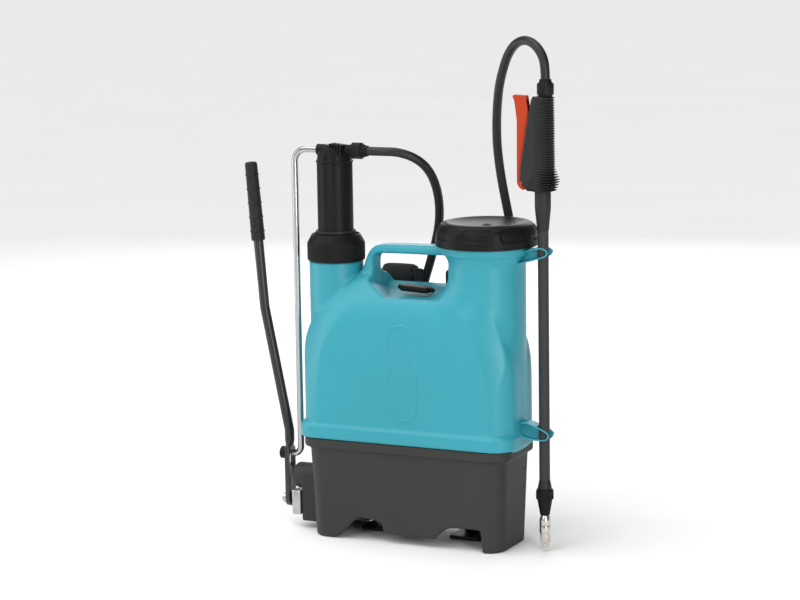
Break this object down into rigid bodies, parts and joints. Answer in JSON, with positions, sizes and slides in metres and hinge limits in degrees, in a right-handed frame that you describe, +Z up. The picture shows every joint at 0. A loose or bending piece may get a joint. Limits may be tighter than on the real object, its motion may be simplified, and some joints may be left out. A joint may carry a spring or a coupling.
{
  "type": "backpack sprayer",
  "caption": "Backpack sprayer with a lever-driven plunger pump in the tank, a screw cap, a hose and trigger lance clipped to its side, and a padded harness.",
  "frame": {"origin": "on the floor, midway between the side walls and midway between the front and back of the tank band", "axes": "+Z up, -Y the broad front, +Y the side worn against the back, +X the side that carries the lance"},
  "size_m": [0.5157, 0.1755, 0.7583],
  "materials": {
    "tank_teal": "satin blow-moulded polyethylene",
    "base_grey": "fine-grained dark grey moulding",
    "black_plastic": "satin black moulding",
    "lever_black": "black powder coat",
    "rod_chrome": "polished",
    "zinc_steel": "zinc plated",
    "hose_rubber": "smooth matt hose",
    "grip_rubber": "ribbed soft rubber",
    "seal_rubber": "moulded seal",
    "lance_grey": "glass-filled grey plastic",
    "trigger_orange": "satin orange moulding",
    "nozzle_metal": "nickel-plated brass",
    "valve_brass": "turned brass",
    "spring_steel": "stainless wire and balls",
    "pump_white": "natural polypropylene",
    "pad_fabric": "black woven cover over foam",
    "webbing": "black polyester webbing"
  },
  "bodies": {
    "tank": {"tank_shell": "tank_teal", "lance_clips": "tank_teal", "base_shell": "base_grey", "lever_bracket": "zinc_steel", "bracket_screws": "zinc_steel", "pivot_bolt": "zinc_steel", "pivot_washer": "zinc_steel", "pivot_bush": "black_plastic", "pivot_nut": "zinc_steel", "pump_liner": "pump_white", "plunger_guide": "black_plastic", "wiper_seal": "seal_rubber", "collar_nut": "black_plastic", "foot_valve": "pump_white", "suction_tube": "pump_white", "intake_strainer": "pump_white", "filler_strainer": "pump_white", "lance_tube": "lance_grey", "lance_socket": "lance_grey", "lance_ferrule": "lance_grey", "lance_nut": "black_plastic", "nozzle_body": "nozzle_metal", "grip_shell_front": "lance_grey", "grip_shell_back": "lance_grey", "grip_screws": "zinc_steel", "grip_cover": "grip_rubber", "valve_body": "valve_brass", "valve_spring": "spring_steel", "trigger_pin": "trigger_orange", "inlet_nut": "black_plastic", "hose": "hose_rubber", "strap_bar": "black_plastic", "shoulder_pad_left": "pad_fabric", "shoulder_pad_right": "pad_fabric", "strap_buckle_left": "black_plastic", "strap_buckle_right": "black_plastic", "lower_strap_left": "webbing", "lower_strap_right": "webbing", "strap_hook_left": "black_plastic", "strap_hook_right": "black_plastic", "strap_anchors": "black_plastic"},
    "lever": {"lever_tube": "lever_black", "lever_grip": "grip_rubber"},
    "plunger": {"plunger_tube": "black_plastic", "plunger_head": "black_plastic", "riser_pipe": "pump_white", "piston": "pump_white", "piston_seal": "seal_rubber", "outlet_nut": "black_plastic"},
    "rod": {"pump_rod": "rod_chrome", "rod_cap": "black_plastic"},
    "intake_ball": {"intake_ball": "spring_steel"},
    "outlet_ball": {"outlet_ball": "spring_steel"},
    "cap_carrier": {"cap_seal": "seal_rubber", "vent_valve": "seal_rubber"},
    "cap": {"filler_cap": "black_plastic"},
    "trigger": {"trigger": "trigger_orange"},
    "valve_stem": {"valve_stem": "valve_brass"},
    "nozzle": {"nozzle_tip": "nozzle_metal"}
  },
  "joints": [
    {"name": "lever_swing", "type": "hinge", "parent": "tank", "child": "lever", "pos_m": [-0.22, 0, 0.04], "axis": [-1, 0, 0], "range_deg": [0, 80]},
    {"name": "plunger_slide", "type": "slide", "parent": "tank", "child": "plunger", "axis": [0, 0, -1], "range_m": [0, 0.0649], "deforming": ["hose"]},
    {"name": "rod_swing", "type": "hinge", "parent": "plunger", "child": "rod", "pos_m": [-0.16, 0, 0.585], "axis": [1, 0, 0], "range_deg": [0, 8.63]},
    {"name": "intake_ball_lift", "type": "slide", "parent": "tank", "child": "intake_ball", "axis": [0, 0, 1], "range_m": [0, 0.004]},
    {"name": "outlet_ball_lift", "type": "slide", "parent": "plunger", "child": "outlet_ball", "axis": [0, 0, 1], "range_m": [0, 0.004]},
    {"name": "cap_lift", "type": "slide", "parent": "tank", "child": "cap_carrier", "axis": [0, 0, 1], "range_m": [0, 0.04]},
    {"name": "cap_turn", "type": "hinge", "parent": "cap_carrier", "child": "cap", "pos_m": [0.117, 0, 0.47], "axis": [0, 0, 1], "continuous": true},
    {"name": "trigger_squeeze", "type": "hinge", "parent": "tank", "child": "trigger", "pos_m": [0.1805, -0.008, 0.548], "axis": [0, 1, 0], "range_deg": [0, 6], "stiffness_Nm_per_rad": 0.5, "springref_deg": -5.73, "deforming": ["valve_spring"]},
    {"name": "valve_stem_slide", "type": "slide", "parent": "tank", "child": "valve_stem", "axis": [1, 0, 0], "range_m": [0, 0.00541]},
    {"name": "nozzle_turn", "type": "hinge", "parent": "tank", "child": "nozzle", "pos_m": [0.2094, -0.008, 0.03], "axis": [0, 0, 1], "range_deg": [0, 360]}
  ],
  "couplings": [
    {"joint": "plunger_slide", "follows": "lever_swing", "m_per_rad": 0.04644},
    {"joint": "rod_swing", "follows": "lever_swing", "ratio": 0.10777},
    {"joint": "valve_stem_slide", "follows": "trigger_squeeze", "m_per_rad": 0.051566}
  ]
}
